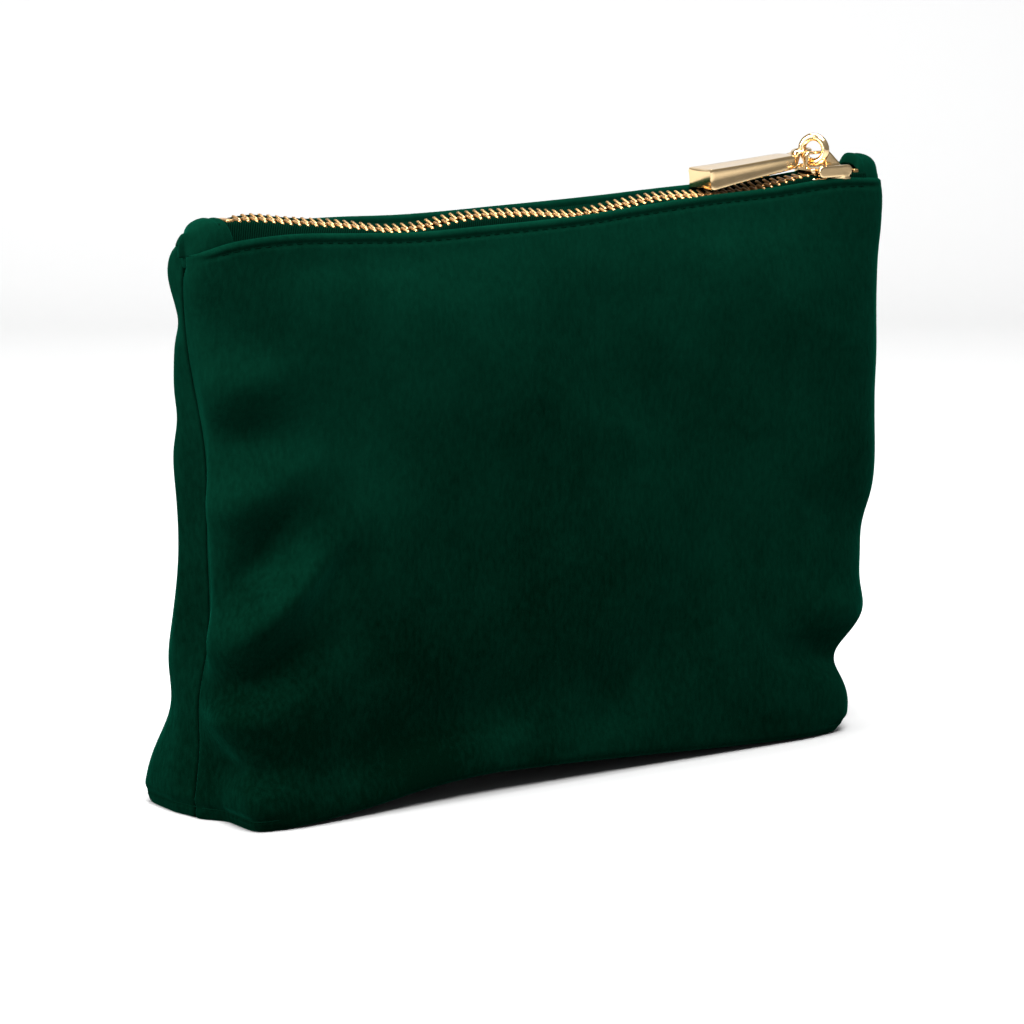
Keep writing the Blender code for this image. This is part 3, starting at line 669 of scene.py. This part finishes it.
STITCH, STITCH_GAP, STITCH_RADIUS = 2.0 * MM, 0.9 * MM, 0.16 * MM
STITCH_POINTS = 7
SIDE_THREAD, SEAM_THREAD = 0.22 * MM, 0.2 * MM  # radius of the side seams' and of the other seams' thread
SIDE_THREAD_INSET = 1.1 * MM


def build_threads():
    plain_z = plain_grid(FRONT, COLUMNS, HEIGHTS)[:, 0, 2]
    stitch_row = int(np.argmin(np.abs(plain_z - (ZIP_Z - STITCH_DROP))))
    corner_row = int(np.argmin(np.abs(plain_z - CORNER_SEAM_Z)))
    front, back = GRID[FRONT], GRID[BACK]
    for side in (FRONT, BACK):
        label, grid = LABEL[side], GRID[side]
        normal = normals_of(grid, side)[stitch_row, 8:-8]
        piece = stitches(f"{label}_top_stitches", grid[stitch_row, 8:-8], normal,
                         STITCH, STITCH_GAP, STITCH_RADIUS, THREAD)
        stand_for(piece, f"{label}_top_stitch", "bag")
    for hand, column, name in ((-1, 0, "left"), (1, -1, "right")):
        rows = slice(24, -6, 2)
        edge = (front[rows, column] + back[rows, column]) / 2
        edge[:, 0] -= hand * SIDE_THREAD_INSET
        piece = join_parts(f"{name}_seam_thread", [thread_part(edge, SIDE_THREAD)], THREAD)
        stand_for(piece, f"{name}_side_thread", "bag")
        reach = slice(2, 24) if hand < 0 else slice(-3, -25, -1)
        line = np.concatenate([front[corner_row, reach][::-1], back[corner_row, reach]])
        piece = join_parts(f"{name}_corner_seam_thread", [thread_part(line, SEAM_THREAD)], THREAD)
        stand_for(piece, f"{name}_corner_thread", "bag")
    line = (front[0, 4:-4:3] + back[0, 4:-4:3]) / 2
    line[:, 2] += SEAM_THREAD
    piece = join_parts("base_seam_thread", [thread_part(line, SEAM_THREAD)], THREAD)
    stand_for(piece, "base_thread", "bag")


# ---------------------------------------------------------------- the zip

PARTED_FROM, PARTED_OVER, PARTING = SLIDER_X - 4.5 * MM, 7.5 * MM, 1.9 * MM
TAPE_PAST_LEFT, TAPE_PAST_RIGHT = 5 * MM, 4 * MM  # how far the tapes run on past the teeth
TAPE_COLUMNS, TAPE_ROWS = 190, 8
ZIP_LEAN = 15  # degrees that the sagging chain leans towards the front
BEAD_NEAR, BEAD_FAR = 1.2 * MM, 2.7 * MM  # the tape's beaded edge, from the chain's middle
TAPE_THICKNESS = 0.6 * MM
TAPE_UNDER_RIM = 0.4 * MM
# Along a tooth from its head to its clamp: distance from the chain's middle, half width, half height (mm)
TOOTH = [(-0.66, 0.20, 0.24), (-0.56, 0.36, 0.38), (-0.12, 0.42, 0.44), (0.35, 0.38, 0.46), (1.15, 0.40, 0.52),
         (2.55, 0.42, 0.60), (2.80, 0.36, 0.52), (2.95, 0.20, 0.30)]
OCTAGON = [(1, 0.55), (0.6, 1), (-0.6, 1), (-1, 0.55), (-1, -0.55), (-0.6, -1), (0.6, -1), (1, -0.55)]


def row_offset(x):
    """The slider holds the two rows apart behind it."""
    return PARTING * np.clip((x - PARTED_FROM) / PARTED_OVER, 0, 1)


def chain_point(x):
    return np.stack([x, np.full_like(x, ZIP_Y), ZIP_Z - profile(ZIP_DROP, x)], axis=-1)


def lean_at(x):
    """How far the chain leans towards the front, in radians; upright near the slider and the closed end."""
    return math.radians(ZIP_LEAN) * (1 - smooth(66 * MM, 80 * MM, x)) * smooth(-96 * MM, -84 * MM, x)


def tape_grid(side):
    """Across from under the teeth to under the folded top edge, along the whole zip."""
    x = np.linspace(TEETH_LEFT - TAPE_PAST_LEFT, TEETH_RIGHT + TAPE_PAST_RIGHT, TAPE_COLUMNS)
    chain = chain_point(x)
    grid = GRID[side]
    top = grid[-1]
    order = np.argsort(top[:, 0])
    rim_y = np.interp(x, top[order, 0], top[order, 1])
    rim_z = np.interp(x, top[order, 0], top[order, 2])
    inner_y = chain[:, 1] + side * (BEAD_NEAR + row_offset(x))
    bead_y = chain[:, 1] + side * (BEAD_FAR + row_offset(x))
    outer_y = rim_y - side * (2 * ROLL - TAPE_UNDER_RIM)
    outer_y = np.where(side * (outer_y - bead_y) < TAPE_UNDER_RIM, bead_y + side * TAPE_UNDER_RIM, outer_y)
    lean = side * np.tan(lean_at(x))
    inner_z, bead_z = chain[:, 2] + BEAD_NEAR * lean, chain[:, 2] + BEAD_FAR * lean
    rows = [np.stack([x, inner_y, inner_z], axis=1), np.stack([x, bead_y, bead_z], axis=1)]
    for step in range(1, TAPE_ROWS + 1):
        share = step / TAPE_ROWS
        eased = float(smooth(0, 1, share))
        drop = (rim_z - 0.8 * MM - bead_z) * (0.4 * share + 0.6 * eased)
        rows.append(np.stack([x, bead_y + (outer_y - bead_y) * share, bead_z + drop], axis=1))
    return np.stack(rows if side == BACK else rows[::-1])


def tooth_part(side, x):
    """One tooth: a clamp on the tape's bead, a neck, and a head that reaches past the middle."""
    step = 0.2 * MM
    before, here, after = (chain_point(np.array(x + d)) for d in (-step, 0, step))
    along = (after - before) / np.linalg.norm(after - before)
    lean = float(lean_at(x))
    across = np.array([0.0, side * math.cos(lean), side * math.sin(lean)])
    up = np.cross(along, across) * side
    offset = float(row_offset(x))
    points = []
    for reach, half_wide, half_high in TOOTH:
        for a, b in OCTAGON:
            points.append(here + across * (reach * MM + offset) + along * a * half_wide * MM
                          + up * b * half_high * MM)
    return np.array(points), loft_faces(len(TOOTH), len(OCTAGON))


def blend_zip(obj):
    """Bakes the piece's placement into its mesh."""
    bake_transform(obj)


def rounded_box(name, centre, half, radius):
    """A stop of the zip: a box with round edges."""
    form = bmesh.new()
    bmesh.ops.create_cube(form, size=2.0)
    bmesh.ops.scale(form, vec=half, verts=form.verts)
    bmesh.ops.bevel(form, geom=form.edges[:], offset=radius, segments=3, profile=0.5, affect="EDGES")
    bmesh.ops.translate(form, vec=centre, verts=form.verts)
    mesh = bpy.data.meshes.new(name)
    form.to_mesh(mesh)
    form.free()
    mesh.materials.append(TEETH_GOLD)
    mesh.shade_smooth()
    return add_object(name, mesh)


def build_zip():
    for side in (FRONT, BACK):
        label = LABEL[side]
        grid = tape_grid(side)
        middle = grid.shape[1] // 2
        first = TEETH_LEFT + PITCH / 2 + (PITCH / 2 if side == BACK else 0.0)
        count = int((TEETH_RIGHT - first) / PITCH)
        teeth = [first + index * PITCH for index in range(count)]
        split = grid[0, middle, 0]
        for half, strip, chosen in (("left", grid[:, :middle + 1], [x for x in teeth if x <= split]),
                                    ("right", grid[:, middle:], [x for x in teeth if x > split])):
            tape = cloth(f"{label}_tape_{half}", strip, side, TAPE_THICKNESS, TAPE_GREEN)
            tape.modifiers["Thickness"].offset = 0
            stand_for(tape, f"{label}_zip_tape")
            blend_zip(tape)
            row = join_parts(f"{label}_teeth_{half}", [tooth_part(side, x) for x in chosen], TEETH_GOLD)
            stand_for(row, f"{label}_tooth_row")
            blend_zip(row)
        low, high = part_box(f"{label}_top_stop")
        stop = rounded_box(f"{label}_stop", (low + high) / 2, (high - low) / 2, 0.35 * MM)
        stand_for(stop, f"{label}_top_stop")
        blend_zip(stop)


# ---------------------------------------------------------------- the tabs at the zip's ends

TABS = {
    # hand: inner end, outer end, height over the zip at the inner end and at the middle (mm)
    -1: (-96.0, -107.0, 1.4, 2.4),
    1: (97.2, 106.4, 5.0, 4.6),
}
# Place and width of each crease, as shares of the tab's length
TAB_CREASES = {-1: [(0.18, 0.05), (0.80, 0.06)], 1: [(0.18, 0.05)]}
TAB_CREASE = 0.7 * MM
TAB_THICKNESS = 0.9 * MM
TAB_OVERLAP = 1.5 * MM  # past each panel's folded edge
TAB_LEAST = 1.2 * MM  # its least width
# Rows along the tab, as shares of its length; the negative ones turn under at its inner end
TAB_ROWS = [-0.10, -0.09, -0.06, 0.0, 0.05, 0.10, 0.14, 0.18, 0.22, 0.28, 0.36, 0.46, 0.56, 0.66, 0.74, 0.80,
            0.84, 0.88, 0.93, 0.97, 1.0]


def tab_grid(hand):
    """The tab over one end of the zip, arched between the two folded edges, with its creases."""
    inner, outer, rise_inner, rise_middle = TABS[hand]
    front, back = (GRID[side][-1][np.argsort(GRID[side][-1][:, 0])] for side in (FRONT, BACK))
    across = np.linspace(-1, 1, 25)
    grid = np.zeros((len(TAB_ROWS), len(across), 3))
    bend, fall = (2.2, 4.5 * MM) if hand < 0 else (3.2, 2.5 * MM)
    for i, share in enumerate(TAB_ROWS):
        x = (inner + (outer - inner) * share) * MM
        front_y = np.interp(x, front[:, 0], front[:, 1]) + TAB_OVERLAP
        back_y = np.interp(x, back[:, 0], back[:, 1]) - TAB_OVERLAP
        front_z = np.interp(x, front[:, 0], front[:, 2]) - 0.6 * MM
        back_z = np.interp(x, back[:, 0], back[:, 2]) - 0.6 * MM
        if back_y - front_y < TAB_LEAST:
            centre = (front_y + back_y) / 2
            front_y, back_y = centre - TAB_LEAST / 2, centre + TAB_LEAST / 2
        inside = max(share, 0.0)
        rise = (rise_inner + (rise_middle - rise_inner) * math.sin(math.pi * inside / 2)) * MM
        top = ZIP_Z + rise * math.sqrt(1 - inside ** bend) - fall * inside ** (bend + 0.8)
        if share < 0:
            top -= (ROLL * 2.4) * (share / TAB_ROWS[0]) ** 2
        crease = TAB_CREASE * sum(math.exp(-((share - place) / width) ** 2) for place, width in TAB_CREASES[hand])
        for j, v in enumerate(across):
            low = front_z if v < 0 else back_z
            arch = 1 - abs(v) ** 2.6
            y = (front_y + back_y) / 2 + (back_y - front_y) / 2 * math.sin(v * math.pi / 2)
            grid[i, j] = (x, y, low + (top - low) * arch - crease * arch)
    return grid


def build_tabs():
    for hand, name in ((-1, "left"), (1, "right")):
        grid = tab_grid(hand)
        tab = cloth(f"{name}_velvet_tab", grid, BACK if hand > 0 else FRONT, TAB_THICKNESS, VELVET_GREEN, 2)
        stand_for(tab, f"{name}_tab", "bag")


# ---------------------------------------------------------------- the pull

# Along the pull from the middle of its eye: distance, half width, half thickness (mm)
PULL_SECTIONS = [(2.2, 1.9, 0.50), (2.8, 2.2, 0.75), (3.6, 2.5, 1.15), (4.3, 2.9, 1.55), (5.2, 3.3, 1.75),
                 (6.6, 3.6, 1.85), (12, 3.8, 2.0), (20, 4.1, 2.2), (28, 4.4, 2.45), (35.0, 4.65, 2.75),
                 (35.8, 4.6, 2.7), (36.3, 4.25, 2.35)]
PULL_STEP = 1.8 * MM  # the wedge lies this much lower than its eye
PULL_CORNER = 0.45 * MM
PULL_HOLLOW = 0.22 * MM
PULL_LENGTH = 34  # mm from the eye, where the sides are hollowed by PULL_HOLLOW
PULL_END_Z = ZIP_Z + 1.3 * MM
EYE_LONG, EYE_WIDE = 2.5 * MM, 1.95 * MM  # radii of the pull's eye to the middle of its wire
EYE_WIRE, EYE_SPREAD = 0.55 * MM, 0.24  # half the wire's height, and half its width over the eye's radius
EYE_STEPS, EYE_SIDES = 28, 10


def rounded_rectangle(half_a, half_b, corner, hollow):
    """32 points round a rectangle with round corners and slightly hollow sides."""
    points = []
    for quarter, (sign_a, sign_b) in enumerate(((1, 1), (-1, 1), (-1, -1), (1, -1))):
        for step in range(5):
            angle = math.radians(90) * (quarter + step / 4)
            points.append((sign_a * (half_a - corner) + corner * math.cos(angle),
                           sign_b * (half_b - corner) + corner * math.sin(angle)))
        for share in (0.5, 0.0, -0.5):
            dent = hollow * (1 - share ** 2)
            if quarter % 2 == 0:
                points.append((sign_a * share * (half_a - corner), sign_b * (half_b - dent)))
            else:
                points.append((sign_a * (half_a - dent), sign_b * share * (half_b - corner)))
    return points


def build_pull():
    eye = next(Vector(joint["pos_m"]) for joint in frame["joints"] if joint["name"] == "pull_swing")
    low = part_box("pull_bar")[0]
    end = Vector((low.x, ZIP_Y, PULL_END_Z))
    along = (end - eye + Vector((0, 0, PULL_STEP))).normalized()
    sideways = Vector((0, 0, 1)).cross(along).normalized()
    up = along.cross(sideways)
    points = []
    for distance, half_a, half_b in PULL_SECTIONS:
        corner = min(PULL_CORNER, 0.8 * half_b * MM)
        hollow = PULL_HOLLOW * distance / PULL_LENGTH
        centre = eye + along * distance * MM - up * PULL_STEP * float(smooth(1.0, 4.6, distance))
        for a, b in rounded_rectangle(half_a * MM, half_b * MM, corner, hollow):
            points.append(centre + sideways * a + up * b)
    wedge_faces = loft_faces(len(PULL_SECTIONS), len(points) // len(PULL_SECTIONS))
    wedge = join_parts("pull_wedge", [(np.array(points), wedge_faces)], HARDWARE_GOLD)
    wedge.data.set_sharp_from_angle(angle=math.radians(35))
    ring, faces = [], []
    for step in range(EYE_STEPS):
        turn = 2 * math.pi * step / EYE_STEPS
        out = along * math.cos(turn) * EYE_LONG + sideways * math.sin(turn) * EYE_WIDE
        near, far = step * EYE_SIDES, (step + 1) % EYE_STEPS * EYE_SIDES
        for corner in range(EYE_SIDES):
            angle = 2 * math.pi * corner / EYE_SIDES
            ring.append(eye + out * (1 + EYE_SPREAD * math.cos(angle)) + up * EYE_WIRE * math.sin(angle))
            after = (corner + 1) % EYE_SIDES
            faces.append([near + corner, far + corner, far + after, near + after])
    loop = join_parts("pull_eye", [(np.array(ring), faces)], HARDWARE_GOLD)
    for piece in (wedge, loop):
        stand_for(piece, "pull_bar", "pull")


# ---------------------------------------------------------------- slider, ring and closed-end stop

# The cast pieces are remeshed at this size and smoothed this many times
CAST_VOXEL = 0.16 * MM
SLIDER_SMOOTHING, RING_SMOOTHING = 12, 10
FLANGE = Vector((5.4, 0.65, 1.5)) * MM  # half the size of the slider's side walls
FLANGE_TOP = ZIP_Z + 2.6 * MM
FLANGE_ROUND = 1.3 * MM  # of their corners, seen from the front
RING_SCALE = 0.92  # about the ring's foot
STOP_HALF_HEIGHT = 0.7 * MM


def cast_copy(node, name, body, smoothing, extra=()):
    """The CAD shape and a few added boxes, fused, with the soft edges of polished die-cast metal."""
    obj = add_object(name, frame["nodes"][node].data.copy())
    form = bmesh.new()
    form.from_mesh(obj.data)
    for centre, half in extra:
        made = bmesh.ops.create_cube(form, size=2.0)["verts"]
        bmesh.ops.scale(form, vec=half, verts=made)
        bmesh.ops.translate(form, vec=centre, verts=made)
        ends = [edge for edge in form.edges
                if edge.verts[0] in made and abs(edge.verts[0].co.y - edge.verts[1].co.y) > half.y]
        bmesh.ops.bevel(form, geom=ends, offset=FLANGE_ROUND, segments=6, profile=0.5, affect="EDGES")
    form.to_mesh(obj.data)
    form.free()
    obj.data.materials.clear()
    obj.data.materials.append(HARDWARE_GOLD)
    remesh = obj.modifiers.new("Cast", "REMESH")
    remesh.mode = "VOXEL"
    remesh.voxel_size = CAST_VOXEL
    remesh.use_smooth_shade = True
    polish = obj.modifiers.new("Polish", "SMOOTH")
    polish.factor = 0.5
    polish.iterations = smoothing
    bpy.context.view_layer.update()
    evaluated = obj.evaluated_get(bpy.context.evaluated_depsgraph_get())
    mesh = bpy.data.meshes.new_from_object(evaluated)
    obj.modifiers.clear()
    obj.data = mesh
    stand_for(obj, node, body)
    return obj


def build_hardware():
    low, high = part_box("slider_body")
    flanges = []
    for y in (low.y + FLANGE.y, high.y - FLANGE.y):
        flanges.append((Vector(((low.x + high.x) / 2, y, FLANGE_TOP - FLANGE.z)), FLANGE))
    cast_copy("slider_body", "slider_cast", "slider", SLIDER_SMOOTHING, flanges)
    ring = cast_copy("pull_ring", "ring_wire", "ring", RING_SMOOTHING)
    low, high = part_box("pull_ring")
    foot = Vector(((low.x + high.x) / 2, (low.y + high.y) / 2, low.z))
    ring.data.transform(Matrix.Translation(foot) @ Matrix.Scale(RING_SCALE, 4) @ Matrix.Translation(-foot))
    low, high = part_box("bottom_stop")
    middle = (low + high) / 2
    middle.z -= float(profile(ZIP_DROP, middle.x))
    half = Vector(((high.x - low.x) / 2, (high.y - low.y) / 2, STOP_HALF_HEIGHT))
    stop = rounded_box("closed_end_stop", middle, half, 0.3 * MM)
    stand_for(stop, "bottom_stop", "bag")


build_layers()
build_threads()
build_zip()
build_tabs()
build_pull()
build_hardware()

# ---------------------------------------------------------------- floor, light and camera

PAPER = (0.27, 0.27, 0.27, 1)
FLOOR_HALF_WIDTH, WALL_DISTANCE, WALL_HEIGHT, BEND_RADIUS = 3.0, 1.1, 1.6, 0.3


def studio():
    """A paper backdrop: floor, bend and wall, square to the camera."""
    outline = [(-FLOOR_HALF_WIDTH, 0.0), (WALL_DISTANCE - BEND_RADIUS, 0.0)]
    for step in range(1, 13):
        angle = math.radians(90) * step / 12
        outline.append((WALL_DISTANCE - BEND_RADIUS + BEND_RADIUS * math.sin(angle),
                        BEND_RADIUS * (1 - math.cos(angle))))
    outline.append((WALL_DISTANCE, WALL_HEIGHT))
    form = bmesh.new()
    rows = []
    for across in (-FLOOR_HALF_WIDTH, FLOOR_HALF_WIDTH):
        rows.append([form.verts.new((across, along, height)) for along, height in outline])
    for a in range(len(outline) - 1):
        form.faces.new((rows[0][a], rows[1][a], rows[1][a + 1], rows[0][a + 1]))
    mesh = bpy.data.meshes.new("backdrop")
    form.to_mesh(mesh)
    form.free()
    mesh.shade_smooth()
    backdrop = add_object("backdrop", mesh)
    backdrop.rotation_euler = (0, 0, math.radians(-AZIMUTH))
    material, tree, shader = new_material("backdrop_paper")
    fill(tree, shader, {"Base Color": PAPER, "Roughness": 0.9})
    mesh.materials.append(material)


def area_light(name, place, size, power):
    """A soft light aimed at the bag's middle; sizes in metres, power in watts."""
    data = bpy.data.lights.new(name, "AREA")
    data.shape = "RECTANGLE"
    data.size, data.size_y = size
    data.energy = power
    light = add_object(name, data)
    light.location = place
    light.rotation_euler = (Vector((0, 0, ZIP_Z / 2)) - Vector(place)).to_track_quat("-Z", "Y").to_euler()


# The photograph's view: degrees, metres, and the focal length for a frame of 1024 pixels
AZIMUTH, ELEVATION, TILT = 34.33, 10.72, -0.29
DISTANCE = 1.1
FOCAL_PIXELS, IMAGE_PIXELS, SENSOR = 4265, 1024, 36.0
AIM_RIGHT, AIM_UP = -0.55 * MM, -8.09 * MM


def camera():
    turn, tilt, roll = map(math.radians, (AZIMUTH, ELEVATION, TILT))
    look = Vector((math.sin(turn) * math.cos(tilt), math.cos(turn) * math.cos(tilt), -math.sin(tilt)))
    right = Vector((math.cos(turn), -math.sin(turn), 0))
    up = right.cross(look)
    right, up = (math.cos(roll) * right + math.sin(roll) * up,
                 math.cos(roll) * up - math.sin(roll) * right)
    aim = Vector((0, 0, ZIP_Z / 2)) + right * AIM_RIGHT + up * AIM_UP
    data = bpy.data.cameras.new("camera")
    data.sensor_width = SENSOR
    data.lens = FOCAL_PIXELS * SENSOR / IMAGE_PIXELS
    data.clip_end = 20
    obj = add_object("camera", data)
    axes = Matrix((right, up, -look)).transposed().to_4x4()
    obj.matrix_world = Matrix.Translation(aim - look * DISTANCE) @ axes
    bpy.context.scene.camera = obj


def lighting():
    world = bpy.data.worlds.new("studio")
    world.use_nodes = True
    fill(world.node_tree, world.node_tree.nodes["Background"], {"Color": (0.95, 0.97, 1.0, 1), "Strength": 0.28})
    bpy.context.scene.world = world
    area_light("key", (-0.25, -0.75, 1.25), (0.6, 0.5), 54)
    area_light("left", (-1.1, 0.1, 0.55), (0.4, 0.8), 38)
    area_light("top", (0.1, 0.1, 1.3), (1.0, 0.6), 46)


studio()
camera()
lighting()
bpy.context.scene.view_settings.view_transform = "Standard"
